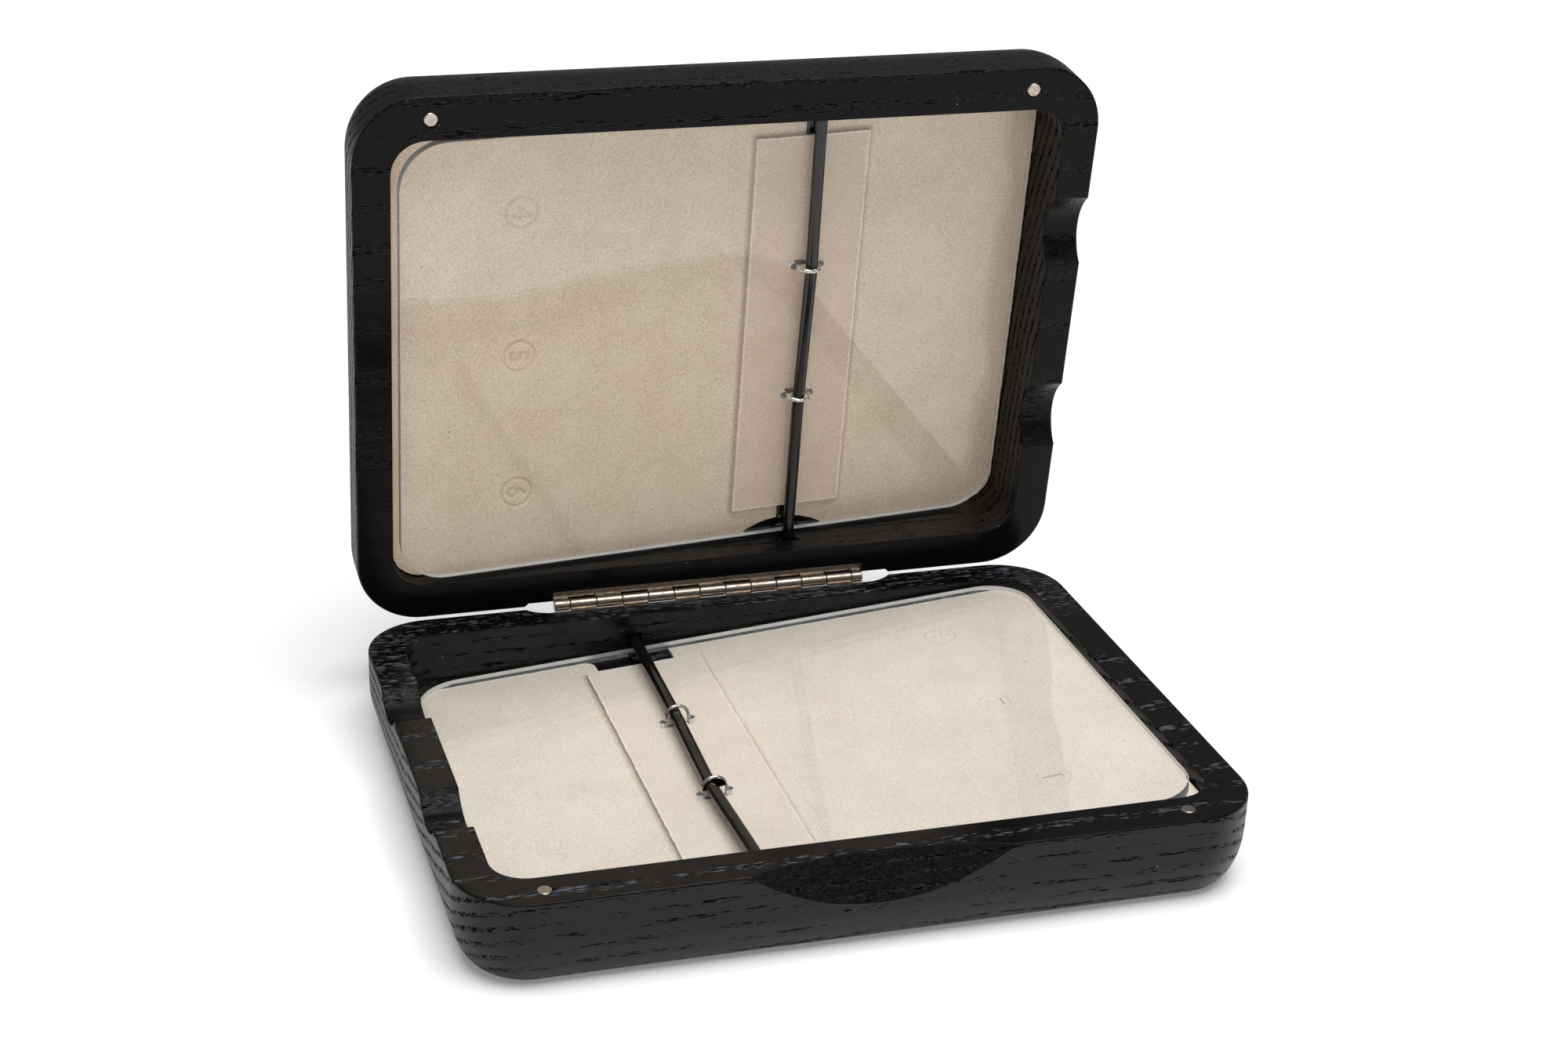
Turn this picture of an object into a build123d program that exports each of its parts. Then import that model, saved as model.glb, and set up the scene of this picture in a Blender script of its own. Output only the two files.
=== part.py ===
from build123d import *
from math import acos, atan2, cos, hypot, pi, sin, sqrt, tan
import os

# A pocket case milled from wood in two equal halves. They fold on a long piano hinge at the
# back, shown standing open. Each half holds a sloping clear plate over a soft lining, with an
# elastic cord round it that clamps flat things onto the plate, and two wire clips for the cord.
# Frame: +X right, +Y towards the hinge, +Z up, origin under the middle of the base.
# The lid's pieces are modelled in the base's place, then carried round the hinge.

os.makedirs("parts", exist_ok=True)

# Shell
case_length = 133.0
case_depth = 101.0
half_height = 16.0
corner_radius = 12.0
under_inset = 5.0  # the underside's elliptical edge, in from the side
under_rise = 10.0  # and up the side
rim_round = 0.4
side_wall = 6.5
front_wall = 7.8
back_wall = 7.0
cavity_radius = 6.0

# The floor and the plate slope up towards +X
floor_thickness = 2.55  # wood left under the floor's low end
plate_drop = 0.1  # rim to plate, at its high edge

# Plate, strip and lining, stacked square to the slope
plate_thickness = 2.0
plate_side_gap = 1.5  # plate to cavity wall, left and right
plate_end_gap = 0.7  # plate to cavity wall, front and back
plate_radius = 8.5
plate_edge = 0.15  # chamfer of the polished edges
strip_width = 21.5
strip_length = 75.0
strip_thickness = 0.8
lining_thickness = 0.8
lining_gap = 0.2

# Cord and its clips
cord_diameter = 2.2
cord_bend = 1.6  # at the cord's centre line
cord_offset = 16.3  # left of the plate's middle
cord_clearance = 0.3  # in the channel's sides and ends
cord_ease = 0.05  # under the lining, and over the channel's floor
cord_pulls = {"base": (-1.1, -0.3), "lid": (-0.4, 0.1)}  # cord off its line, at the two clips
cord_end = 3.0  # straight over the plate's edge, before it leaves its line
cord_sway = 60.0  # radius of its turns there and at the clips
cutout_left = 8.2  # base lining cut away round the cord's two ends, left of the cord
cutout_right = 6.2
cutout_under_strip = 0.3  # past the strip's end
cutout_left_radius = 2.2
cutout_right_radius = 5.0
bay_width = 16.5  # the lid lining's shallower round bays
bay_depth = 2.5
slot_under_strip = 2.5  # lining's slot for the cord, past the strip's end
wire_diameter = 0.55
clip_half_span = 2.5
clip_leg = 0.7  # straight, above the plate
clip_bend = 0.5
clip_spacing = 26.0
clip_shifts = {"base": (-0.5, 0.0), "lid": (0.0, 0.0)}  # front and back clip, off the line
clip_toe = 0.6  # a toe's end, from the clip's middle
wire_ease = 0.05  # toe under the plate
clip_hole = 1.4
toe_slot_clearance = 0.15

# Finger notches in the low side's wall, and the scoop at the base's front
notch_radius = 8.5
notch_depth = 3.1
notch_spacing = 37.6
scoop_radius = 81.0
scoop_back = 3.4  # in from the front, at the rim
scoop_down = 7.7  # down the front, from the rim

# Magnets in the front rim
magnet_diameter = 2.5
magnet_length = 2.6
magnet_from_side = 13.25
magnet_from_front = 4.05
magnet_clearance = 0.05
magnet_edge = 0.15

# Piano hinge
lid_opening = 83.0  # degrees from closed
rim_gap = 0.1  # between the closed rims
hinge_behind = 0.15  # axis, behind the back faces
barrel_diameter = 2.15
leaf_thickness = 0.4
leaf_width = 5.25  # from the axis
knuckle_pitch = 5.0
knuckle_count = 11  # between the two end knuckles
first_knuckle = 3.0
last_knuckle = 2.2
knuckle_gap = 0.1
knuckle_edge = 0.12
barrel_clearance = 0.15
pin_clearance = 0.05
rabbet_width = 2.6
rabbet_reach = 5.6  # past the hinge's ends, on the back face
rabbet_cutter = 8.0  # radius
kerf_reach = 10.0
kerf_cutter = 10.0
kerf_clearance = 0.05  # over the leaf
leaf_edge_gap = 0.1

# What follows from them
cavity_length = case_length - 2 * side_wall
cavity_depth = case_depth - front_wall - back_wall
cavity_y = (front_wall - back_wall) / 2
plate_length = cavity_length - 2 * plate_side_gap
plate_depth = cavity_depth - 2 * plate_end_gap
strip_level = plate_thickness + strip_thickness
floor_level = strip_level + lining_thickness
cord_radius = cord_diameter / 2
wire_radius = wire_diameter / 2
barrel_radius = barrel_diameter / 2
bore_radius = barrel_radius - leaf_thickness
hinge_length = first_knuckle + knuckle_count * knuckle_pitch + last_knuckle
axis_y = case_depth / 2 + hinge_behind
axis_z = half_height + rim_gap / 2
leaf_level = axis_z - barrel_radius
floor_run = (plate_length + cavity_length) / 2
floor_drop = half_height - plate_drop - floor_thickness
slope = acos(floor_level / hypot(floor_drop, floor_run)) - atan2(floor_run, floor_drop)

# The plate's top face at its middle; local x runs up the slope, local z stands square to it
plate_top = Plane(
    origin=(0, cavity_y, half_height - plate_drop - plate_length / 2 * tan(slope)),
    x_dir=(cos(slope), 0, sin(slope)),
    z_dir=(-sin(slope), 0, cos(slope)),
)
# Where the cord crosses the plate's middle: x along the cord, y square to the plate
cord_plane = Plane(
    origin=plate_top.from_local_coords((-cord_offset, 0, 0)),
    x_dir=(0, 1, 0),
    z_dir=plate_top.x_dir,
)
clip_places = {
    half: ((front, -clip_spacing / 2), (back, clip_spacing / 2))
    for half, (front, back) in clip_shifts.items()
}
lid_seat = Pos(0, axis_y, axis_z) * Rot(X=180 - lid_opening) * Rot(Z=180) * Pos(0, -axis_y, -axis_z)


def level(depth):
    """The sloping plane at a depth under the plate's top face."""
    return plate_top.offset(-depth)


def clip_plane(shift, y):
    """Across the cord at y from the plate's middle: x up the slope, y square to the plate."""
    return Plane(
        origin=plate_top.from_local_coords((shift - cord_offset, y, 0)),
        x_dir=plate_top.x_dir,
        z_dir=(0, -1, 0),
    )


def milled_slot_length(depth, reach, cutter):
    """Overall length of a slot cut from the back face, whose mouth passes the hinge by reach."""
    return hinge_length + 2 * (reach + cutter - sqrt(cutter**2 - (cutter - depth) ** 2))


def under_edge():
    """What the milling takes off round the underside, outside its elliptical edge."""
    side = case_length / 2
    back = case_depth / 2
    with BuildPart() as waste:
        with BuildLine():
            FilletPolyline((0, back), (side, back), (side, -back), (0, -back), radius=corner_radius)
        with BuildSketch(Plane.YZ):
            with BuildLine():
                EllipticalCenterArc((back - under_inset, under_rise), under_inset, under_rise, 270, arc_size=90)
                Polyline(
                    (back, under_rise),
                    (back + 1, under_rise),
                    (back + 1, -1),
                    (back - under_inset, -1),
                    (back - under_inset, 0),
                )
            make_face()
        sweep()
        mirror(about=Plane.YZ)
    return waste.part


def shell(scooped):
    """One milled half: sloping cavity, cord channel, notches, magnet bores and hinge rabbet."""
    with BuildPart() as hollow:
        with BuildSketch(Plane.XY.offset(half_height)):
            with Locations((0, cavity_y)):
                RectangleRounded(cavity_length, cavity_depth, cavity_radius)
        extrude(amount=-half_height)
        split(bisect_by=level(floor_level), keep=Keep.TOP)

    waste = under_edge()
    with BuildPart() as body:
        with BuildSketch():
            RectangleRounded(case_length, case_depth, corner_radius)
        extrude(amount=half_height)
        fillet(body.faces().sort_by(Axis.Z)[-1].edges(), rim_round)

        add(waste, mode=Mode.SUBTRACT)
        add(hollow.part, mode=Mode.SUBTRACT)

        # Channel under the lining, which runs into the walls to take the cord's bends
        channel_floor = floor_level + cord_diameter + 2 * cord_ease
        with BuildSketch(level(channel_floor)):
            with Locations((-cord_offset, 0)):
                channel_length = plate_depth + 2 * (cord_bend + cord_radius + cord_clearance)
                SlotOverall(channel_length, cord_diameter + 2 * cord_clearance, rotation=90)
        extrude(amount=channel_floor + cord_diameter + cord_clearance, mode=Mode.SUBTRACT)

        with BuildSketch(Plane.YZ.offset(-case_length / 2)):
            with Locations((0, half_height + notch_radius - notch_depth)):
                with GridLocations(notch_spacing, 0, 2, 1):
                    Circle(notch_radius)
        extrude(amount=side_wall, mode=Mode.SUBTRACT)

        with BuildSketch(Plane.XY.offset(half_height)):
            with Locations((0, magnet_from_front - case_depth / 2)):
                with GridLocations(case_length - 2 * magnet_from_side, 0, 2, 1):
                    Circle(magnet_diameter / 2 + magnet_clearance)
        extrude(amount=-magnet_length, mode=Mode.SUBTRACT)

        with BuildSketch(Plane.XY.offset(half_height)):
            with Locations((0, case_depth / 2 - rabbet_width + rabbet_cutter)):
                rabbet_length = milled_slot_length(rabbet_width, rabbet_reach, rabbet_cutter)
                SlotOverall(rabbet_length, 2 * rabbet_cutter)
        extrude(amount=leaf_level - barrel_clearance - half_height, mode=Mode.SUBTRACT)

        # Saw kerf that takes the leaf, under a thin lip of the rim
        with BuildSketch(Plane.XY.offset(leaf_level)):
            kerf_depth = leaf_width - hinge_behind + leaf_edge_gap
            with Locations((0, case_depth / 2 - kerf_depth + kerf_cutter)):
                SlotOverall(milled_slot_length(kerf_depth, kerf_reach, kerf_cutter), 2 * kerf_cutter)
        extrude(amount=leaf_thickness + kerf_clearance, mode=Mode.SUBTRACT)

        if scooped:
            lean = Vector(0, scoop_back, scoop_down).normalized()
            out = Vector(0, -lean.Z, lean.Y)
            mouth = Vector(0, scoop_back - case_depth / 2, half_height)
            with BuildSketch(Plane(origin=mouth + out * scoop_radius, x_dir=(1, 0, 0), z_dir=lean)):
                Circle(scoop_radius)
            extrude(amount=2 * half_height, both=True, mode=Mode.SUBTRACT)
    return body.part


def lining(round_bays):
    """Soft sheet on the cavity's floor, cut away and slotted where the cord goes down."""
    sheet_length = (cavity_length - 2 * lining_gap) / cos(slope)
    sheet_depth = cavity_depth - 2 * lining_gap
    edge = sheet_depth / 2
    with BuildSketch() as cutout:
        if round_bays:
            bay_radius = (bay_width**2 / 4 + bay_depth**2) / (2 * bay_depth)
            for side in (-1, 1):
                with Locations((-cord_offset, side * (edge - bay_depth + bay_radius))):
                    Circle(bay_radius)
        else:
            cutout_depth = edge - strip_length / 2 + cutout_under_strip
            with Locations((-cord_offset - cutout_left, 0)):
                with GridLocations(0, 2 * edge, 1, 2):
                    Rectangle(cutout_left + cutout_right, 2 * cutout_depth, align=(Align.MIN, Align.CENTER))
        slot_end = strip_length / 2 - slot_under_strip
        with Locations((-cord_offset, 0)):
            with GridLocations(0, edge + slot_end, 1, 2):
                SlotOverall(edge - slot_end, cord_diameter + cord_clearance, rotation=90)
    with BuildPart() as sheet:
        with BuildSketch(level(floor_level)) as outline:
            with Locations((-floor_level * tan(slope), 0)):
                RectangleRounded(sheet_length, sheet_depth, cavity_radius - lining_gap)
            add(cutout.sketch, mode=Mode.SUBTRACT)
            if not round_bays:
                mouths = outline.vertices().filter_by_position(Axis.X, -cord_offset - cutout_left, 0)
                on_edge = mouths.filter_by(lambda corner: abs(abs(corner.Y) - edge) < 0.01)
                ends = on_edge.group_by(Axis.X)
                fillet(ends[0], cutout_left_radius)
                fillet(ends[-1], cutout_right_radius)
        extrude(amount=lining_thickness)
    return sheet.part


def strip(clip_places):
    """Narrow pad that beds the plate, with a punched slot for each clip's toes."""
    with BuildPart() as pad:
        with BuildSketch(level(strip_level)):
            with Locations((-cord_offset, 0)):
                Rectangle(strip_width, strip_length)
                with Locations(*clip_places):
                    toe_width = 2 * (clip_half_span + wire_radius + toe_slot_clearance)
                    Rectangle(toe_width, wire_diameter + 2 * toe_slot_clearance, mode=Mode.SUBTRACT)
        extrude(amount=strip_thickness)
    return pad.part


def plate(clip_places):
    """Clear plate with polished edges and four small holes for the clips."""
    with BuildPart() as sheet:
        with BuildSketch(level(plate_thickness)):
            RectangleRounded(plate_length / cos(slope), plate_depth, plate_radius)
            with Locations((-cord_offset, 0)):
                with Locations(*clip_places):
                    with GridLocations(2 * clip_half_span, 0, 2, 1):
                        Circle(clip_hole / 2, mode=Mode.SUBTRACT)
        extrude(amount=plate_thickness)
        chamfer([face.outer_wire().edges() for face in sheet.faces().filter_by(level(0))], plate_edge)
    return sheet.part


def cord(pull_front, pull_back):
    """Elastic loop round the plate: over its top, down past two edges, back in the channel."""
    top = cord_radius
    low = -floor_level - cord_ease - cord_radius
    reach = plate_depth / 2 + cord_bend
    turn = plate_depth / 2 - cord_end
    top_end = plate_depth / 2 - cord_end / 2
    with BuildPart() as loop:
        with BuildLine(cord_plane) as half_loop:
            FilletPolyline((top_end, top), (reach, top), (reach, low), (0, low), radius=cord_bend)
        with BuildSketch(Plane(origin=half_loop.line @ 0, z_dir=half_loop.line % 0)):
            Circle(cord_radius)
        sweep()
        mirror(about=Plane.XZ.offset(-cavity_y))
        with BuildLine(cord_plane) as top_run:
            FilletPolyline(
                (-top_end, top, 0), (-turn, top, 0), (-clip_spacing / 2, top, pull_front),
                (clip_spacing / 2, top, pull_back), (turn, top, 0), (top_end, top, 0),
                radius=cord_sway,
            )
        with BuildSketch(Plane(origin=top_run.line @ 0, z_dir=top_run.line % 0)):
            Circle(cord_radius)
        sweep()
    length = 2 * half_loop.wires()[0].length + top_run.wires()[0].length
    print("cord loop", round(length, 1), "mm, bends of radius", cord_bend)
    print("its volume over section times length", loop.part.volume / (length * pi * cord_radius**2))
    return loop.part


def clip(shift, y):
    """Bent wire arch over the cord, its legs through the plate and its toes turned in below."""
    toe_level = -plate_thickness - wire_ease - wire_radius
    middle = clip_plane(shift, y)
    with BuildPart() as wire:
        with BuildLine(middle) as half_arch:
            FilletPolyline(
                (clip_toe, toe_level), (clip_half_span, toe_level), (clip_half_span, clip_leg),
                radius=clip_bend,
            )
            CenterArc((0, clip_leg), clip_half_span, 0, 90)
        with BuildSketch(Plane(origin=half_arch.line @ 0, z_dir=half_arch.line % 0)):
            Circle(wire_radius)
        sweep()
        mirror(about=Plane(origin=middle.origin, z_dir=middle.x_dir))
    return wire.part


def magnet(side):
    """Small cylinder let in flush with the front rim, on side -1 or +1."""
    with BuildPart() as slug:
        with BuildSketch(Plane.XY.offset(half_height - magnet_length)):
            with Locations((side * (case_length / 2 - magnet_from_side), magnet_from_front - case_depth / 2)):
                Circle(magnet_diameter / 2)
        extrude(amount=magnet_length)
        chamfer(slug.faces().sort_by(Axis.Z)[-1].edges(), magnet_edge)
    return slug.part


def knuckle_spans():
    """Each knuckle's start and end along the hinge, from left to right; the first is the lid's."""
    start = -hinge_length / 2
    spans = []
    for width in [first_knuckle] + knuckle_count * [knuckle_pitch] + [last_knuckle]:
        spans.append((start, start + width))
        start += width
    return spans


def hinge_leaf(spans):
    """Leaf in its kerf, cut back between its own rolled knuckles."""
    with BuildPart() as leaf:
        with BuildSketch(Plane.XY.offset(leaf_level)):
            with Locations((0, axis_y - barrel_radius - barrel_clearance)):
                inner_width = leaf_width - barrel_radius - barrel_clearance
                Rectangle(hinge_length, inner_width, align=(Align.CENTER, Align.MAX))
        extrude(amount=leaf_thickness)
        for start, end in spans:
            with BuildSketch(Plane.YZ.offset(start + knuckle_gap / 2)):
                with Locations((axis_y, axis_z)):
                    Circle(barrel_radius)
                with Locations((axis_y, leaf_level)):
                    Rectangle(leaf_width, leaf_thickness, align=(Align.MAX, Align.MIN))
                with Locations((axis_y, axis_z)):
                    Circle(bore_radius, mode=Mode.SUBTRACT)
            extrude(amount=end - start - knuckle_gap)
        rolls = leaf.edges().filter_by(GeomType.CIRCLE).group_by(SortBy.RADIUS)[-1]
        chamfer(rolls, knuckle_edge)
    return leaf.part


def hinge_pin():
    """Plain wire pin through all the knuckles."""
    with BuildPart() as pin:
        with BuildSketch(Plane.YZ.offset(-hinge_length / 2)):
            with Locations((axis_y, axis_z)):
                Circle(bore_radius - pin_clearance)
        extrude(amount=hinge_length)
    return pin.part


def keep(piece, name):
    """Label a finished piece and write it."""
    piece.label = name
    export_step(piece, f"parts/{name}.step")


spans = knuckle_spans()
lid_spans = [(-end, -start) for start, end in spans[0::2]]
halves = {"base": (Location(), spans[1::2], True), "lid": (lid_seat, lid_spans, False)}
for half, (seat, own_spans, scooped) in halves.items():
    keep(seat * shell(scooped), f"{half}_shell")
    keep(seat * lining(not scooped), f"{half}_lining")
    keep(seat * strip(clip_places[half]), f"{half}_strip")
    keep(seat * plate(clip_places[half]), f"{half}_plate")
    keep(seat * cord(*cord_pulls[half]), f"{half}_cord")
    keep(seat * clip(*clip_places[half][0]), f"{half}_clip_front")
    keep(seat * clip(*clip_places[half][1]), f"{half}_clip_back")
    keep(seat * magnet(-1), f"{half}_magnet_left")
    keep(seat * magnet(1), f"{half}_magnet_right")
    keep(seat * hinge_leaf(own_spans), f"{half}_hinge_leaf")
keep(hinge_pin(), "hinge_pin")
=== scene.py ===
import math

import bmesh
import bpy
from mathutils import Euler, Matrix, Vector, noise
from mathutils.bvhtree import BVHTree


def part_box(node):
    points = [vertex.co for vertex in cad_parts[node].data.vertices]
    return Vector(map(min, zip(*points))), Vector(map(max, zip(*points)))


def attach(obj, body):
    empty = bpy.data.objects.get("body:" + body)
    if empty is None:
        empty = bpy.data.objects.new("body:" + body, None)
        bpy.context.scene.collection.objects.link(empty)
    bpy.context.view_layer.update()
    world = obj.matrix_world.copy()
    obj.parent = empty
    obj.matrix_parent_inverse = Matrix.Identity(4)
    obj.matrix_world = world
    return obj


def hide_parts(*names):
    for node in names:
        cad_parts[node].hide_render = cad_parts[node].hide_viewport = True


# A black ash pocket case standing open: two milled halves on a piano hinge, each with a sloping
# clear plate over a suede lining, an elastic cord and two wire clips. Units are metres.

MM = 0.001

# The hinge's axis, and how far the lid is turned round it from the base's own place
AXIS = Vector((0, 50.65, 16.05)) * MM
LID_TURN = Euler((math.radians(97), 0, 0)).to_matrix() @ Euler((0, 0, math.pi)).to_matrix()
TO_LID = Matrix.Translation(AXIS) @ LID_TURN.to_4x4() @ Matrix.Translation(-AXIS)

# The sloping stack: its frame stands at the middle of the plate's top face
SLOPE = math.radians(4.7)
PLATE_MIDDLE = Vector((0, 0.4, 11.09)) * MM
STACK = Matrix.Translation(PLATE_MIDDLE) @ Euler((0, -SLOPE, 0)).to_matrix().to_4x4()
HALVES = {"base": Matrix.Identity(4), "lid": TO_LID}

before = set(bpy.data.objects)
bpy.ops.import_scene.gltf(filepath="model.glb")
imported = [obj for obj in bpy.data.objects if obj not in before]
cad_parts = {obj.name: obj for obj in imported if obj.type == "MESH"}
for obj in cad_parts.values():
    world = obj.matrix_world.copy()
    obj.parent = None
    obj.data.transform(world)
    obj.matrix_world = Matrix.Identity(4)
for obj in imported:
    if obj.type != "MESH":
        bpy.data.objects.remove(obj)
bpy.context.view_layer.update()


SMOOTH = {"interpolation_type": "SMOOTHSTEP"}
COLOURS = {"data_type": "RGBA"}


# Materials

def linear(hex_colour):
    """An sRGB colour such as "#1A2B3C" as linear RGBA."""
    channels = [int(hex_colour[i:i + 2], 16) / 255 for i in (1, 3, 5)]
    return [c / 12.92 if c <= 0.04045 else ((c + 0.055) / 1.055) ** 2.4 for c in channels] + [1.0]


def add(tree, kind, sockets, **settings):
    """Adds a node with its settings. Each socket gets a link from a node's first output or from
    a given output, or a value, or a colour written as hex."""
    node = tree.nodes.new("ShaderNode" + kind)
    for name, value in settings.items():
        setattr(node, name, value)
    for socket, source in sockets.items():
        if isinstance(source, bpy.types.Node):
            source = source.outputs[0]
        if isinstance(source, bpy.types.NodeSocket):
            tree.links.new(source, node.inputs[socket])
        else:
            node.inputs[socket].default_value = linear(source) if isinstance(source, str) else source
    return node


def new_tree(name):
    """An empty node material and its tree."""
    material = bpy.data.materials.new(name)
    material.use_nodes = True
    material.node_tree.nodes.clear()
    return material, material.node_tree


def half_frame(tree, half):
    """The surface's place in its half's own frame, in millimetres, and the way it faces there."""
    turn = HALVES[half].inverted()
    coordinates = add(tree, "TexCoord", {}).outputs
    moved = {
        "Vector": coordinates["Object"], "Location": turn.translation / MM,
        "Rotation": turn.to_euler(), "Scale": (1 / MM, 1 / MM, 1 / MM),
    }
    turned = {"Vector": coordinates["Normal"], "Rotation": turn.to_euler()}
    return add(tree, "Mapping", moved), add(tree, "Mapping", turned, vector_type="VECTOR")


PITH = (0, 40, 208)  # the growth rings' centre in a half's frame, mm
RING_WIDTH = 2.3  # mm
EARLY_SHARE = 0.50  # of a ring, which holds its open vessels
VESSEL = (2.0, 0.29, 0.27)  # mm along the grain and across it
FRAY = (1.6, 0.25, 0.25)  # mm, the waves in a vessel's walls
FIBRE = (5.0, 0.22, 0.22)  # mm
TEAR = (0.9, 0.28, 0.28)  # mm
LINT = 2.6  # mm between its cells, of which some hold a speck
PORE_DEPTH = 0.08  # mm
RIM_PORE_GLINT = {"base": "#565B64", "lid": "#0C0C0E"}  # painted glints in the rims' pores: pale on the base, hardly any in the lid's


def black_ash(half, shift):
    """Ash stained black and oiled to a satin. It is ring-porous: each growth ring starts with a
    band of open vessels, which show as dots on the end grain and as short torn dashes along it,
    glinting where they face a lamp. The dense late wood between them is smooth and shiny. On the
    rims about half of the pores hold a painted glint, pale on the base and near black on the lid."""
    material, tree = new_tree(f"{half} black-stained ash")
    place, facing = half_frame(tree, half)

    # Distance from the pith, drifting a little, in rings; shift moves them, so that the two
    # halves don't match
    slow = add(tree, "VectorMath", {0: place, 1: (90, 24, 24)}, operation="DIVIDE")
    drift = add(tree, "TexNoise", {"Vector": slow, "Scale": 1.0, "Detail": 2.0})
    from_pith = add(tree, "VectorMath", {0: place, 1: PITH}, operation="SUBTRACT")
    across = add(tree, "VectorMath", {0: from_pith, 1: (0, 1, 1)}, operation="MULTIPLY")
    radius = add(tree, "VectorMath", {0: across}, operation="LENGTH").outputs["Value"]
    drifted = add(tree, "Math", {0: drift, 1: 3.0, 2: radius}, operation="MULTIPLY_ADD")
    rings = add(tree, "Math", {0: drifted, 1: 1 / RING_WIDTH, 2: shift}, operation="MULTIPLY_ADD")
    ring = add(tree, "Math", {0: rings}, operation="FRACT")

    # The early wood's band, patchy along the grain
    rise = add(tree, "MapRange", {"Value": ring, "From Min": 0.0, "From Max": 0.07}, **SMOOTH)
    falling = {
        "Value": ring, "From Min": 0.5 * EARLY_SHARE, "From Max": 1.2 * EARLY_SHARE,
        "To Min": 1.0, "To Max": 0.0,
    }
    fall = add(tree, "MapRange", falling, **SMOOTH)
    band = add(tree, "Math", {0: rise, 1: fall}, operation="MULTIPLY")
    patch_place = add(tree, "VectorMath", {0: place, 1: (13, 1.1, 1.1)}, operation="DIVIDE")
    patches = add(tree, "TexNoise", {"Vector": patch_place, "Scale": 1.0, "Detail": 2.0})
    patch_range = {"Value": patches, "From Min": 0.40, "From Max": 0.58, "To Min": 0.5, "To Max": 1.0}
    patchy = add(tree, "MapRange", patch_range)
    early = add(tree, "Math", {0: band, 1: patchy}, operation="MULTIPLY")

    # Vessels: long cells, open in the early wood and here and there outside it. They stand
    # closer together on the end grain
    fray_place = add(tree, "VectorMath", {0: place, 1: FRAY}, operation="DIVIDE")
    fray = add(tree, "TexNoise", {"Vector": fray_place, "Scale": 1.0, "Detail": 2.0}).outputs["Color"]
    frayed = add(tree, "VectorMath", {0: fray, 1: (0.7, 0.22, 0.22), 2: place}, operation="MULTIPLY_ADD")
    cells = add(tree, "VectorMath", {0: frayed, 1: VESSEL}, operation="DIVIDE")
    vessel = add(tree, "TexVoronoi", {"Vector": cells, "Scale": 1.0, "Randomness": 1.0})
    chance = add(tree, "SeparateColor", {"Color": vessel.outputs["Color"]})
    smaller = add(tree, "Math", {0: chance, 1: -0.42, 2: 0.05}, operation="MULTIPLY_ADD")
    lengthwise = add(tree, "SeparateXYZ", {0: facing}).outputs["X"]
    end_grain = add(tree, "Math", {0: lengthwise}, operation="ABSOLUTE")
    crowding = add(tree, "Math", {0: end_grain, 1: 0.3, 2: 0.66}, operation="MULTIPLY_ADD")
    opening = add(tree, "Math", {0: early, 1: crowding, 2: smaller}, operation="MULTIPLY_ADD")
    inside = add(tree, "Math", {0: opening, 1: vessel.outputs["Distance"]}, operation="SUBTRACT")
    hole = {"Value": inside, "From Min": -0.15, "From Max": 0.15}
    pore = add(tree, "MapRange", hole, **SMOOTH)

    # Fibre, finer than the vessels, and its torn ends where the cutter met it at a slant
    fibre_place = add(tree, "VectorMath", {0: place, 1: FIBRE}, operation="DIVIDE")
    fibre = add(tree, "TexNoise", {"Vector": fibre_place, "Scale": 1.0, "Detail": 4.0, "Roughness": 0.6})
    upwards = add(tree, "SeparateXYZ", {0: facing}).outputs["Z"]
    slant = {"Value": upwards, "From Min": 0.12, "From Max": 0.25}
    slanting = add(tree, "MapRange", slant, **SMOOTH)
    level = {"Value": upwards, "From Min": 0.85, "From Max": 0.97, "To Min": 1.0, "To Max": 0.0}
    not_level = add(tree, "MapRange", level, **SMOOTH)
    torn = add(tree, "Math", {0: slanting, 1: not_level}, operation="MULTIPLY")
    tear_place = add(tree, "VectorMath", {0: place, 1: TEAR}, operation="DIVIDE")
    tear_shape = {"Vector": tear_place, "Scale": 1.0, "Detail": 3.0, "Roughness": 0.7}
    tear_range = {"Value": add(tree, "TexNoise", tear_shape), "From Min": 0.50, "From Max": 0.62}
    tears = add(tree, "MapRange", tear_range, **SMOOTH)

    late = add(tree, "Mix", {0: fibre, 6: "#060607", 7: "#0F0F11"}, **COLOURS).outputs[2]
    open_wood = add(tree, "Mix", {0: early, 6: late, 7: "#080808"}, **COLOURS).outputs[2]
    dark = add(tree, "Mix", {0: pore, 6: open_wood, 7: "#010101"}, **COLOURS).outputs[2]

    # Painted glints: a pale colour in about half of the rims' pores, standing in for light caught on
    # their walls
    glint_chance = add(tree, "MapRange", {"Value": chance.outputs["Green"], "From Min": 0.35, "From Max": 0.6})
    on_rim = add(tree, "Math", {0: 1.0, 1: not_level}, operation="SUBTRACT")
    in_pore = add(tree, "Math", {0: pore, 1: on_rim}, operation="MULTIPLY")
    # The painted glint's mask: pores on level faces, about half of them
    dust = add(tree, "Math", {0: in_pore, 1: glint_chance}, operation="MULTIPLY")
    with_painted_glint = add(tree, "Mix", {0: dust, 6: dark, 7: RIM_PORE_GLINT[half]}, **COLOURS).outputs[2]

    # Lint: a pale speck here and there
    lint_place = add(tree, "VectorMath", {0: place, 1: (LINT, LINT, LINT)}, operation="DIVIDE")
    lint_cell = add(tree, "TexVoronoi", {"Vector": lint_place, "Scale": 1.0, "Randomness": 1.0})
    lint_size = add(tree, "SeparateColor", {"Color": lint_cell.outputs["Color"]})
    lint_reach = add(tree, "Math", {0: lint_size, 1: 0.08, 2: -0.035}, operation="MULTIPLY_ADD")
    lint = add(tree, "Math", {0: lint_cell.outputs["Distance"], 1: lint_reach}, operation="LESS_THAN")
    colour = add(tree, "Mix", {0: lint, 6: with_painted_glint, 7: "#B9B6B2"}, **COLOURS).outputs[2]

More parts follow.
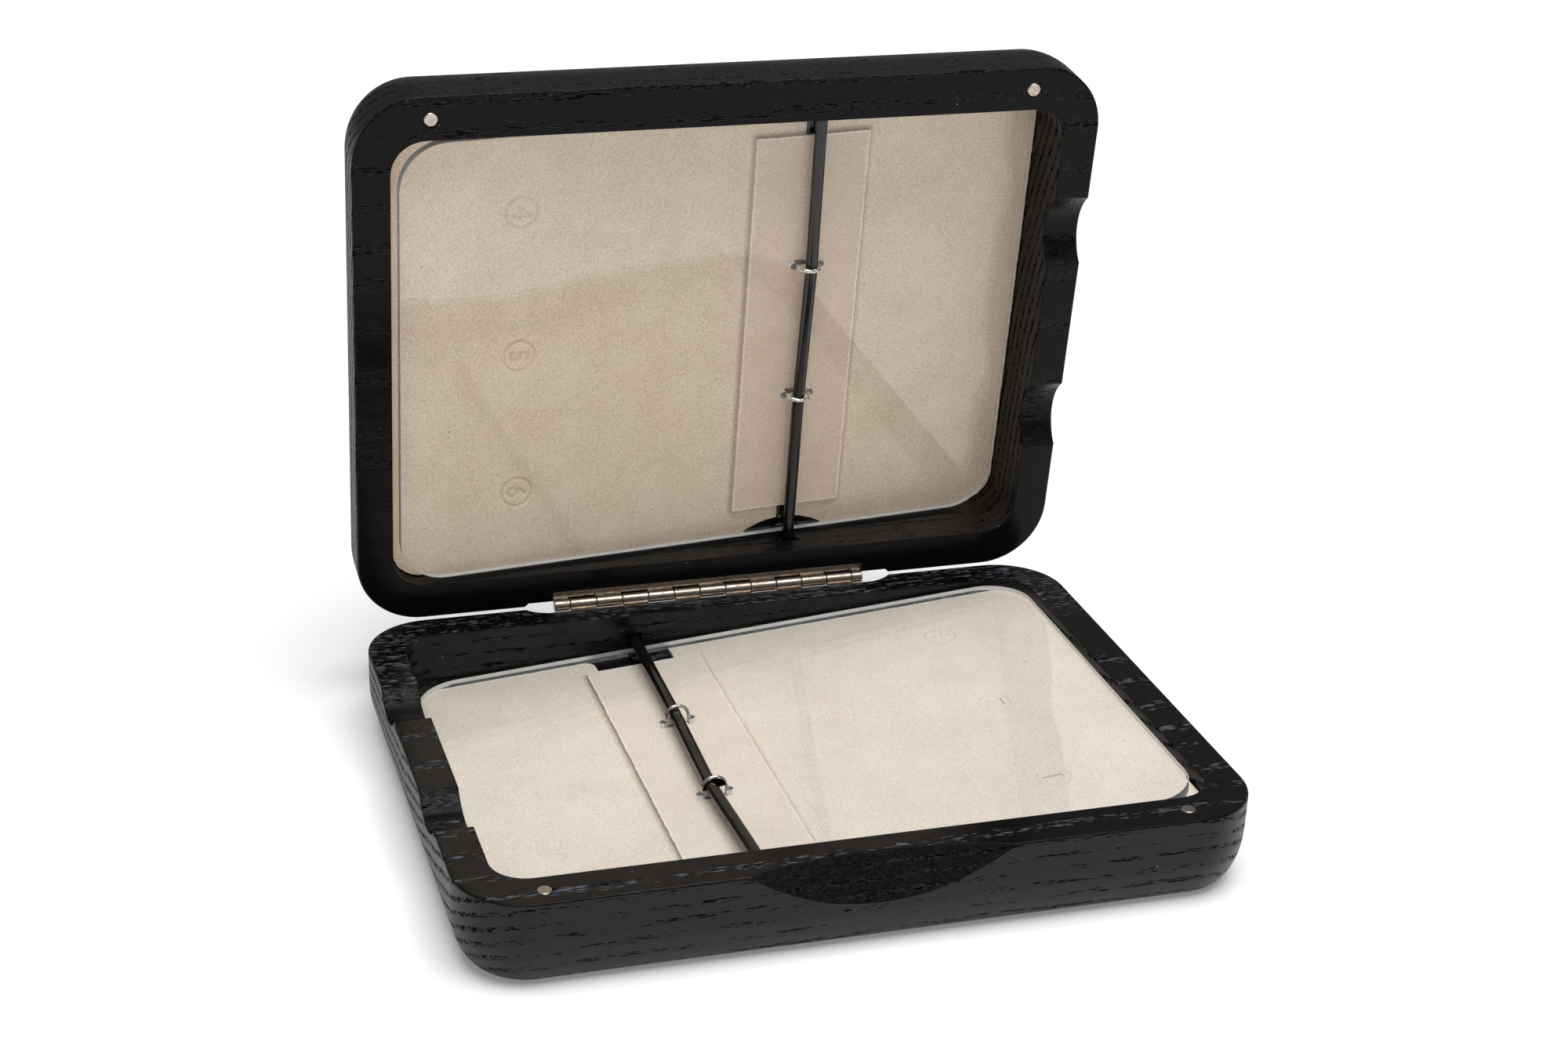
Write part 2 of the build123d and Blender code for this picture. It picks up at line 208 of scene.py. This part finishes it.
    # The rims and the torn hollows shine less than the sides, pores' walls do not, and a pore's
    # bottom hardly shines at all
    sides = add(tree, "Math", {0: not_level, 1: torn}, operation="SUBTRACT")
    oiled = add(tree, "Mix", {0: sides, 6: "#A8A8A8", 7: "#FFFFFF"}, **COLOURS).outputs[2]
    wall = add(tree, "MapRange", {"Value": pore, "From Min": 0.0, "From Max": 0.3})
    walled = add(tree, "Mix", {0: wall, 6: oiled, 7: "#FFFFFF"}, **COLOURS).outputs[2]
    deep = add(tree, "MapRange", {"Value": pore, "From Min": 0.6, "From Max": 0.95})
    lustre = add(tree, "Mix", {0: deep, 6: walled, 7: "#101010"}, **COLOURS).outputs[2]

    sheen = add(tree, "Math", {0: fibre, 1: 0.10, 2: 0.15}, operation="MULTIPLY_ADD")
    duller = add(tree, "Math", {0: early, 1: 0.06, 2: sheen}, operation="MULTIPLY_ADD")
    torn_dull = add(tree, "Math", {0: torn, 1: 0.05, 2: duller}, operation="MULTIPLY_ADD")
    end_dull = add(tree, "Math", {0: end_grain, 1: 0.25, 2: torn_dull}, operation="MULTIPLY_ADD")
    roughness = add(tree, "Math", {0: deep, 1: 0.45, 2: end_dull}, operation="MULTIPLY_ADD")
    tearing = add(tree, "Math", {0: torn, 1: tears}, operation="MULTIPLY")
    ridges = add(tree, "Math", {0: fibre, 1: 0.06}, operation="MULTIPLY")
    rough_height = add(tree, "Math", {0: tearing, 1: -0.5, 2: ridges}, operation="MULTIPLY_ADD")
    height = add(tree, "Math", {0: pore, 1: -1.0, 2: rough_height}, operation="MULTIPLY_ADD")
    bump = add(tree, "Bump", {"Height": height, "Strength": 1.0, "Distance": PORE_DEPTH * MM})
    sockets = {
        "Base Color": colour, "Roughness": roughness, "Specular Tint": lustre,
        "Normal": bump, "IOR": 1.35,
    }
    shader = add(tree, "BsdfPrincipled", sockets)
    add(tree, "OutputMaterial", {"Surface": shader})
    return material


STACK_UP = (-math.sin(SLOPE), 0, math.cos(SLOPE))
NAP = 0.32  # mm, tufts of the suede's nap
MOTTLE = 8  # mm
SPECK = 5.5  # mm between the cells of its dark fibres, of which some hold one
NAP_HEIGHT = 0.08 * MM
SUEDE_TONES_AND_PAINTED_BOUNCE = {  # brushed one way and the other; the lid's tones are painted warmer and darker than the base's, for the warm bounce light it gets
    "base lining": ("#F1E6DB", "#D2C4B6"), "lid lining": ("#EEDECD", "#CBB6A1"),
    "base pad": ("#ECE0D5", "#D5C6B9"), "lid pad": ("#E6D2C2", "#CBB4A2"),
}
PRESSED_NAP_AND_SHADE = {"base": 0.10, "lid": 0.25}  # share of a darker tone in the numbers: pressed nap, and painted shade in their grooves, more on the lid
PAD_LOW, PAD_HIGH = (Vector(corner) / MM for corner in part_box("base_strip"))


def suede(half, sheet):
    """Microfibre suede, brushed: a short matt nap that mottles faintly, with a few dark fibres.
    The lid's suede is painted warmer and darker than the base's, for the warm bounce light on it.
    Its cut edges are browner: the backing, and painted shade on these walls. The numbers pressed
    into it are darker: pressed nap, and painted shade in their grooves. The pad is paler along
    its outline, and the lining has a ragged band of painted shade just outside it."""
    material, tree = new_tree(f"{half} {sheet} suede")
    place, facing = half_frame(tree, half)
    nap_place = add(tree, "VectorMath", {0: place, 1: (NAP, NAP, NAP)}, operation="DIVIDE")
    nap = add(tree, "TexNoise", {"Vector": nap_place, "Scale": 1.0, "Detail": 3.0, "Roughness": 0.7})
    cloud_place = add(tree, "VectorMath", {0: place, 1: (MOTTLE, MOTTLE, MOTTLE)}, operation="DIVIDE")
    cloud = add(tree, "TexNoise", {"Vector": cloud_place, "Scale": 1.0, "Detail": 2.0})
    blend = add(tree, "Math", {0: cloud, 1: 0.2, 2: nap}, operation="MULTIPLY_ADD")
    brushing = {"Value": blend, "From Min": 0.36, "From Max": 0.82}
    share = add(tree, "MapRange", brushing, **SMOOTH)
    pale, dark = SUEDE_TONES_AND_PAINTED_BOUNCE[f"{half} {sheet}"]
    brushed = add(tree, "Mix", {0: share, 6: dark, 7: pale}, **COLOURS).outputs[2]
    speck_place = add(tree, "VectorMath", {0: place, 1: (SPECK, SPECK, SPECK)}, operation="DIVIDE")
    speck_cell = add(tree, "TexVoronoi", {"Vector": speck_place, "Scale": 1.0})
    speck_size = add(tree, "SeparateColor", {"Color": speck_cell.outputs["Color"]})
    speck_reach = add(tree, "Math", {0: speck_size, 1: 0.055, 2: -0.018}, operation="MULTIPLY_ADD")
    speck = add(tree, "Math", {0: speck_cell.outputs["Distance"], 1: speck_reach}, operation="LESS_THAN")
    # The numbers' darker tone: pressed nap, and painted shade in their grooves
    pressed = add(tree, "Attribute", {}, attribute_name="pressed").outputs["Fac"]
    pressed_and_shade_share = add(tree, "Math", {0: pressed, 1: PRESSED_NAP_AND_SHADE[half]}, operation="MULTIPLY")
    pressed_and_shaded = add(tree, "Mix", {0: pressed_and_shade_share, 6: brushed, 7: "#A8937C"}, **COLOURS).outputs[2]
    flecked = add(tree, "Mix", {0: speck, 6: pressed_and_shaded, 7: "#8C7D6C"}, **COLOURS).outputs[2]
    # Sideways faces, the cut edges, are browner: the backing, and painted shade on these walls
    upright = add(tree, "VectorMath", {0: facing, 1: STACK_UP}, operation="DOT_PRODUCT")
    flatness = upright.outputs["Value"]
    cut_backing_and_shade_range = {"Value": flatness, "From Min": 0.3, "From Max": 0.8, "To Min": 1.0, "To Max": 0.0}
    cut = add(tree, "MapRange", cut_backing_and_shade_range)
    sheet_colour = add(tree, "Mix", {0: cut, 6: flecked, 7: "#B39C82"}, **COLOURS).outputs[2]

    # How far outside the pad's outline, in mm, made ragged by the nap
    pad_middle, pad_reach = (PAD_LOW + PAD_HIGH) / 2, (PAD_HIGH - PAD_LOW) / 2
    from_middle = add(tree, "VectorMath", {0: place, 1: pad_middle}, operation="SUBTRACT")
    to_side = add(tree, "VectorMath", {0: from_middle}, operation="ABSOLUTE")
    beyond = add(tree, "VectorMath", {0: to_side, 1: pad_reach}, operation="SUBTRACT")
    past = add(tree, "SeparateXYZ", {0: beyond})
    outside = add(tree, "Math", {0: past.outputs["X"], 1: past.outputs["Y"]}, operation="MAXIMUM")
    ragged = add(tree, "Math", {0: nap, 1: 0.8, 2: outside}, operation="MULTIPLY_ADD")
    # A paler band along the pad's outline; on the lining, painted contact shade just outside the pad
    if sheet == "pad":
        pale_edge_and_painted_shade_colour = "#FBF4EC"
        pale_edge_and_painted_shade_range = {"From Min": -0.15, "From Max": 0.3, "To Min": 0.0, "To Max": 0.6}
    else:
        pale_edge_and_painted_shade_colour = "#8B7963"
        pale_edge_and_painted_shade_range = {"From Min": 0.45, "From Max": 1.6, "To Min": 0.5, "To Max": 0.0}
    pale_edge_and_painted_shade = add(tree, "MapRange", {"Value": ragged, **pale_edge_and_painted_shade_range}, **SMOOTH)
    colour = add(tree, "Mix", {0: pale_edge_and_painted_shade, 6: sheet_colour, 7: pale_edge_and_painted_shade_colour}, **COLOURS).outputs[2]
    bump = add(tree, "Bump", {"Height": nap, "Strength": 0.7, "Distance": NAP_HEIGHT})
    sockets = {
        "Base Color": colour, "Normal": bump, "Roughness": 0.95,
        "Sheen Weight": 0.12, "Sheen Roughness": 0.5, "Specular IOR Level": 0.2,
    }
    add(tree, "OutputMaterial", {"Surface": add(tree, "BsdfPrincipled", sockets)})
    return material


def clear_acrylic(half):
    """Cast acrylic sheet, clear, its sanded edges polished to a milky blue-grey. Lamp and diffuse
    rays pass straight through, so that the suede under it is lit."""
    material, tree = new_tree(f"{half} clear cast acrylic")
    facing = half_frame(tree, half)[1]
    upright = add(tree, "VectorMath", {0: facing, 1: STACK_UP}, operation="DOT_PRODUCT")
    flatness = add(tree, "Math", {0: upright.outputs["Value"]}, operation="ABSOLUTE")
    edge = {"Value": flatness, "From Min": 0.2, "From Max": 0.9, "To Min": 1.0, "To Max": 0.0}
    on_edge = add(tree, "MapRange", edge)
    clearness = add(tree, "Math", {0: on_edge, 1: -0.45, 2: 1.0}, operation="MULTIPLY_ADD")
    roughness = add(tree, "Math", {0: on_edge, 1: 0.3}, operation="MULTIPLY")
    colour = add(tree, "Mix", {0: on_edge, 6: "#FFFFFF", 7: "#C6D0D8"}, **COLOURS).outputs[2]
    sockets = {
        "Base Color": colour, "Roughness": roughness, "IOR": 1.36,
        "Transmission Weight": clearness,
    }
    shader = add(tree, "BsdfPrincipled", sockets)
    open_air = add(tree, "BsdfTransparent", {"Color": "#FAFCFC"})
    path = add(tree, "LightPath", {})
    passing = {0: path.outputs["Is Shadow Ray"], 1: path.outputs["Is Diffuse Ray"]}
    through = add(tree, "Math", passing, operation="MAXIMUM")
    mixed = add(tree, "MixShader", {0: through, 1: shader, 2: open_air})
    add(tree, "OutputMaterial", {"Surface": mixed})
    return material


def nitrile_cord():
    """Solid black rubber cord, extruded smooth: a soft lengthwise highlight with fine dust."""
    material, tree = new_tree("black nitrile rubber")
    place = half_frame(tree, "base")[0]
    fine = add(tree, "VectorMath", {0: place, 1: (0.3, 0.3, 0.3)}, operation="DIVIDE")
    grain = add(tree, "TexNoise", {"Vector": fine, "Scale": 1.0, "Detail": 3.0})
    colour = add(tree, "Mix", {0: grain, 6: "#060708", 7: "#121316"}, **COLOURS).outputs[2]
    roughness = add(tree, "Math", {0: grain, 1: 0.12, 2: 0.05}, operation="MULTIPLY_ADD")
    bump = add(tree, "Bump", {"Height": grain, "Strength": 0.5, "Distance": 0.008 * MM})
    sockets = {"Base Color": colour, "Roughness": roughness, "Normal": bump, "IOR": 1.5}
    add(tree, "OutputMaterial", {"Surface": add(tree, "BsdfPrincipled", sockets)})
    return material


def nickel(name, bright, worn, roughness, scratch):
    """Nickel plate: bright and slightly warm, rubbed duller in patches of the size of scratch,
    in mm."""
    material, tree = new_tree(name)
    place = half_frame(tree, "base")[0]
    fine = add(tree, "VectorMath", {0: place, 1: scratch}, operation="DIVIDE")
    wear = add(tree, "TexNoise", {"Vector": fine, "Scale": 1.0, "Detail": 5.0, "Roughness": 0.65})
    rubbed = {"Value": wear, "From Min": 0.35, "From Max": 0.7}
    share = add(tree, "MapRange", rubbed, **SMOOTH)
    colour = add(tree, "Mix", {0: share, 6: bright, 7: worn}, **COLOURS).outputs[2]
    dull = add(tree, "Math", {0: share, 1: 0.12, 2: roughness}, operation="MULTIPLY_ADD")
    bump = add(tree, "Bump", {"Height": wear, "Strength": 0.3, "Distance": 0.006 * MM})
    sockets = {"Base Color": colour, "Roughness": dull, "Normal": bump, "Metallic": 1.0}
    add(tree, "OutputMaterial", {"Surface": add(tree, "BsdfPrincipled", sockets)})
    return material


def paint(obj, material):
    """The piece shows this material and no other."""
    obj.data.materials.clear()
    obj.data.materials.append(material)


# Pieces made from a welded copy of their CAD solid

def only(obj):
    """Makes obj the only selected and active object."""
    bpy.ops.object.select_all(action="DESELECT")
    obj.select_set(True)
    bpy.context.view_layer.objects.active = obj


def welded_copy(node, name, place):
    """A closed copy of a CAD solid, laid in the frame of place, each flat in one face."""
    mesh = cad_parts[node].data.copy()
    obj = bpy.data.objects.new(name, mesh)
    bpy.context.scene.collection.objects.link(obj)
    mesh.transform(place.inverted())
    only(obj)
    bpy.ops.object.mode_set(mode="EDIT")
    bpy.ops.mesh.select_all(action="SELECT")
    bpy.ops.mesh.remove_doubles(threshold=0.002 * MM)
    bpy.ops.mesh.dissolve_limited(angle_limit=math.radians(0.5))
    bpy.ops.mesh.customdata_custom_splitnormals_clear()
    bpy.ops.object.mode_set(mode="OBJECT")
    return obj


def finish(obj, half, node, material, place, crease):
    """Carries the piece to its place, smooths it up to a crease angle and gives it its finish."""
    obj.data.transform(place)
    only(obj)
    bpy.ops.object.shade_smooth_by_angle(angle=math.radians(crease))
    paint(obj, material)
    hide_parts(node)
    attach(obj, half)


# Wooden halves

EASED_EDGE = 0.15 * MM


def wooden_half(half, shift):
    """The milled half, its machined edges eased by sandpaper."""
    obj = welded_copy(f"{half}_shell", f"{half}_wooden_half", Matrix.Identity(4))
    ease = obj.modifiers.new("eased edges", "BEVEL")
    ease.width, ease.segments = EASED_EDGE, 2
    ease.limit_method, ease.angle_limit = "ANGLE", math.radians(32)
    ease.use_clamp_overlap = False
    bpy.ops.object.modifier_apply(modifier=ease.name)
    # Where two eased edges meet at a sharp corner the bevel overshoots the block's faces
    low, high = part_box("base_shell")
    to_half = HALVES[half].inverted()
    for v in obj.data.vertices:
        reach = zip(to_half @ v.co, low, high)
        v.co = HALVES[half] @ Vector([min(max(value, least), most) for value, least, most in reach])
    finish(obj, half, f"{half}_shell", black_ash(half, shift), Matrix.Identity(4), 15)
    only(obj)
    flat = obj.modifiers.new("flat faces shade flat", "WEIGHTED_NORMAL")
    flat.keep_sharp = True
    bpy.ops.object.modifier_apply(modifier=flat.name)


# Sheets of suede

GRID = 2.0 * MM


def cut_grid(shape, step):
    """Cuts the sheet into squares of the given step."""
    for axis in (0, 1):
        reach = max(abs(v.co[axis]) for v in shape.verts)
        count = int(reach / step)
        for index in range(-count, count + 1):
            point, normal = Vector(), Vector()
            point[axis], normal[axis] = index * step, 1
            bmesh.ops.bisect_plane(
                shape, geom=shape.verts[:] + shape.edges[:] + shape.faces[:],
                dist=0.01 * MM, plane_co=point, plane_no=normal,
            )


def fray_edges(shape, depth, cuts):
    """Divides the sheet's outline and moves it in and out by up to depth, as cut suede frays."""
    shape.normal_update()
    outline = {
        edge for face in shape.faces if abs(face.normal.z) < 0.5 for edge in face.edges
        if abs(edge.verts[0].co.z - edge.verts[1].co.z) < 0.1 * MM
    }
    bmesh.ops.subdivide_edges(shape, edges=list(outline), cuts=cuts)
    shape.normal_update()
    outwards = {}
    for face in shape.faces:
        if abs(face.normal.z) < 0.5:
            for v in face.verts:
                outwards.setdefault(v, Vector()).xy += face.normal.xy
    for v, out in outwards.items():
        x, y = v.co.x / (0.5 * MM), v.co.y / (0.5 * MM)
        move = noise.noise(Vector((x, y, 1.3))) + 0.6 * noise.noise(Vector((x / 4, y / 4, 8.1))) - 0.5
        v.co.xy += out.normalized().xy * depth * move


def refine(shape, centres, radius, cuts):
    """Divides the top face's squares near the centres."""
    shape.normal_update()
    edges = set()
    for face in shape.faces:
        middle = face.calc_center_median()
        if face.normal.z > 0.9 and any((middle.xy - c).length < radius for c in centres):
            edges.update(face.edges)
    bmesh.ops.subdivide_edges(shape, edges=list(edges), cuts=cuts, use_grid_fill=True)


NUMBER_RING = 2.85 * MM  # middle of the ring's line
RING_HALF_LINE = 0.42 * MM  # to where the ring's groove runs out
DIGIT_SPREAD = 0.16 * MM  # to where a digit's groove runs out, past its outline
NUMBER_HEIGHT = 3.5 * MM
NUMBER_REACH = 4.6 * MM  # of the finer squares round each number
NUMBER_CUTS = 13
STAMP_DEPTH = 0.22 * MM
CAPITAL = 0.7  # a digit's height as a share of its font size


def number_outline(digit, centre):
    """A generic digit as a flat mesh at the centre, its top towards -X. Its object is removed."""
    bpy.ops.object.select_all(action="DESELECT")
    bpy.ops.object.text_add()
    text = bpy.context.object
    text.data.body = digit
    text.data.align_x, text.data.align_y = "CENTER", "CENTER"
    text.data.size = NUMBER_HEIGHT / CAPITAL
    bpy.ops.object.convert(target="MESH")
    mesh = text.data.copy()
    bpy.data.objects.remove(text)
    low = Vector([min(v.co[i] for v in mesh.vertices) for i in range(3)])
    high = Vector([max(v.co[i] for v in mesh.vertices) for i in range(3)])
    mesh.transform(Matrix.Translation(-(low + high) / 2))
    quarter_turn = Euler((0, 0, math.pi / 2)).to_matrix().to_4x4()
    mesh.transform(Matrix.Translation((*centre, 0)) @ quarter_turn)
    return mesh


def stamp(shape, centre, digit):
    """Presses a number in a ring into the top face at the centre, and marks how far each point
    went down, for the darker tone there: pressed nap, and painted shade in the grooves."""
    glyph = number_outline(digit, centre)
    pressed = shape.verts.layers.float.get("pressed") or shape.verts.layers.float.new("pressed")
    tree = BVHTree.FromPolygons([v.co for v in glyph.vertices], [p.vertices for p in glyph.polygons])
    for v in shape.verts:
        away = (v.co.xy - centre).length
        if away > 1.3 * NUMBER_RING or v.normal.z < 0.9:
            continue
        ring = max(0.0, 1 - (abs(away - NUMBER_RING) / RING_HALF_LINE) ** 2)
        near = tree.find_nearest(Vector((v.co.x, v.co.y, 0)))
        inside = max(0.0, 1 - (near[3] / DIGIT_SPREAD) ** 2)
        v[pressed] = max(ring, inside)
        v.co.z -= STAMP_DEPTH * v[pressed]


def rest_unevenly(shape, height, size):
    """The top face rises and falls by up to height over waves of the given size."""
    for v in shape.verts:
        if v.normal.z > 0.9:
            v.co.z += height * noise.noise(Vector((v.co.x / size, v.co.y / size, 3.7)))


NUMBERS = {  # their middles in the stack's frame, mm
    "base": {"1": (38.4, -26.0), "2": (38.4, 1.6), "3": (38.4, 29.2)},
    "lid": {"4": (36.7, -27.6), "5": (36.7, 0.0), "6": (36.7, 27.6)},
}


def lining(half):
    """Suede glued to the sloping floor, its plate numbers pressed into it."""
    place = HALVES[half] @ STACK
    obj = welded_copy(f"{half}_lining", f"{half}_suede_lining", place)
    shape = bmesh.new()
    shape.from_mesh(obj.data)
    cut_grid(shape, GRID)
    numbers = {digit: Vector(centre) * MM for digit, centre in NUMBERS[half].items()}
    refine(shape, numbers.values(), NUMBER_REACH, NUMBER_CUTS)
    shape.normal_update()
    rest_unevenly(shape, 0.06 * MM, 7 * MM)
    for digit, centre in numbers.items():
        stamp(shape, centre, digit)
    fray_edges(shape, 0.10 * MM, 3)
    shape.to_mesh(obj.data)
    shape.free()
    finish(obj, half, f"{half}_lining", suede(half, "lining"), place, 40)


STRIP_MIDDLE = -2.4 * MM  # halfway through the pad, under the plate's top face
UNDER_PLATE = 0.05 * MM  # air between the pad and the plate that lies on it


def strip(half):
    """Narrow pad of thicker suede under the plate, its cut edge ragged."""
    place = HALVES[half] @ STACK
    obj = welded_copy(f"{half}_strip", f"{half}_suede_strip", place)
    shape = bmesh.new()
    shape.from_mesh(obj.data)
    cut_grid(shape, GRID)
    for v in shape.verts:
        if v.co.z > STRIP_MIDDLE:
            v.co.z -= UNDER_PLATE
    fray_edges(shape, 0.12 * MM, 4)
    shape.to_mesh(obj.data)
    shape.free()
    finish(obj, half, f"{half}_strip", suede(half, "pad"), place, 40)


# Hard pieces over the suede

def plate(half):
    """The clear plate, each of its faces shaded flat."""
    obj = welded_copy(f"{half}_plate", f"{half}_acrylic_plate", HALVES[half] @ STACK)
    finish(obj, half, f"{half}_plate", clear_acrylic(half), HALVES[half] @ STACK, 30)


WIRE_SWELL = 0.1 * MM  # added all round above the plate
WIRE_CLOSER = 0.84  # of the arch's span and of its height over the plate


def clip(half, end, material):
    """The wire arch, thicker and closer round the cord than the plain CAD wire. Its legs still
    pass through the plate's holes."""
    node = f"{half}_clip_{end}"
    obj = welded_copy(node, f"{node}_wire", HALVES[half] @ STACK)
    middle = sum(v.co.x for v in obj.data.vertices) / len(obj.data.vertices)
    for v in obj.data.vertices:
        share = min(1.0, max(0.0, v.co.z / (0.2 * MM)))
        v.co += v.normal * WIRE_SWELL * share
        v.co.x = middle + (v.co.x - middle) * WIRE_CLOSER
        v.co.z *= WIRE_CLOSER if v.co.z > 0 else 1
    finish(obj, half, node, material, HALVES[half] @ STACK, 60)


wire = nickel("bright nickel wire", "#F1EDE6", "#D3CCC2", 0.18, (0.5, 0.5, 0.5))
for half, shift in (("base", 0.0), ("lid", 0.37)):
    wooden_half(half, shift)
    lining(half)
    strip(half)
    plate(half)
    clip(half, "front", wire)
    clip(half, "back", wire)

rubber = nitrile_cord()
disc = nickel("nickel-plated magnet", "#C6BBAF", "#9A8F83", 0.28, (0.5, 0.5, 0.5))
hinge = nickel("nickel-plated hinge steel", "#C4B8AB", "#8F8275", 0.30, (1.2, 0.3, 0.3))
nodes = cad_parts
for half in HALVES:
    paint(nodes[f"{half}_cord"], rubber)
    paint(nodes[f"{half}_hinge_leaf"], hinge)
    for side in ("left", "right"):
        paint(nodes[f"{half}_magnet_{side}"], disc)
paint(nodes["hinge_pin"], hinge)


# Studio

ROOM = 0.16  # the dim room's strength, where white is 1


def white_floor():
    """Plain white board under the case. It shows full white where no shadow falls, also far off
    in the lamps' dimmer light."""
    bpy.ops.object.select_all(action="DESELECT")
    bpy.ops.mesh.primitive_grid_add(x_subdivisions=8, y_subdivisions=8, size=6)
    floor = bpy.context.object
    floor.name = "studio_floor"
    material, tree = new_tree("white studio board")
    board = add(tree, "BsdfDiffuse", {"Color": "#F4F4F4"})
    spot = add(tree, "TexCoord", {}).outputs["Object"]
    away = add(tree, "VectorMath", {0: spot}, operation="LENGTH").outputs["Value"]
    lift = {"Value": away, "From Min": 0.3, "From Max": 1.0, "To Min": ROOM, "To Max": 1.0}
    path = add(tree, "LightPath", {}).outputs
    seen_rays = {0: path["Is Camera Ray"], 1: path["Is Transmission Ray"]}
    seen = add(tree, "Math", seen_rays, operation="MAXIMUM")
    seen_glow = add(tree, "Math", {0: seen, 1: add(tree, "MapRange", lift)}, operation="MULTIPLY")
    mirrored = {0: path["Is Glossy Ray"], 1: ROOM, 2: seen_glow}
    glow = add(tree, "Emission", {"Strength": add(tree, "Math", mirrored, operation="MULTIPLY_ADD")})
    add(tree, "OutputMaterial", {"Surface": add(tree, "AddShader", {0: board, 1: glow})})
    paint(floor, material)


def studio_world():
    """White behind the object, and a plain dim room round it."""
    world = bpy.data.worlds.new("studio")
    bpy.context.scene.world = world
    world.use_nodes = True
    tree = world.node_tree
    tree.nodes.clear()
    path = add(tree, "LightPath", {}).outputs
    seen_rays = {0: path["Is Camera Ray"], 1: path["Is Transmission Ray"]}
    seen = add(tree, "Math", seen_rays, operation="MAXIMUM")
    strength = add(tree, "Mix", {0: seen, 2: ROOM, 3: 1.0}, data_type="FLOAT")
    background = add(tree, "Background", {"Color": "#FFFFFF", "Strength": strength})
    add(tree, "OutputWorld", {"Surface": background})


def lamp(name, place, aim, size, power, colour):
    """A square soft box."""
    data = bpy.data.lights.new(name, "AREA")
    data.size, data.energy, data.color = size, power, linear(colour)[:3]
    obj = bpy.data.objects.new(name, data)
    bpy.context.scene.collection.objects.link(obj)
    obj.location = place
    obj.rotation_euler = (Vector(aim) - Vector(place)).to_track_quat("-Z", "Y").to_euler()
    return obj


def camera():
    """A short telephoto view from the front left, from above the open lid."""
    eye = Vector((-126.93, -383.78, 228.09)) * MM
    back = -Vector((0.25511, 0.87145, -0.41891)).normalized()
    right = Vector((0.09277, 0.40918, 0.90772)).cross(back).normalized()
    up = back.cross(right)
    data = bpy.data.cameras.new("camera")
    data.sensor_width, data.lens = 36, 60.84
    data.shift_x, data.shift_y = 0.04625, 0.0335
    data.clip_start, data.clip_end = 0.02, 20
    obj = bpy.data.objects.new("camera", data)
    bpy.context.scene.collection.objects.link(obj)
    obj.matrix_world = Matrix((
        (right.x, up.x, back.x, eye.x),
        (right.y, up.y, back.y, eye.y),
        (right.z, up.z, back.z, eye.z),
        (0, 0, 0, 1),
    ))
    bpy.context.scene.camera = obj


white_floor()
studio_world()
lamp("overhead soft box", (0.08, -0.30, 1.67), (0, 0, 0.02), 1.35, 33.0, "#FFFFFF")
fill = lamp("front fill", (0.05, -1.35, 0.25), (0, 0, 0.05), 0.7, 4.0, "#FFEEDC")
fill.visible_glossy = False
camera()
bpy.context.scene.view_settings.view_transform = "Standard"
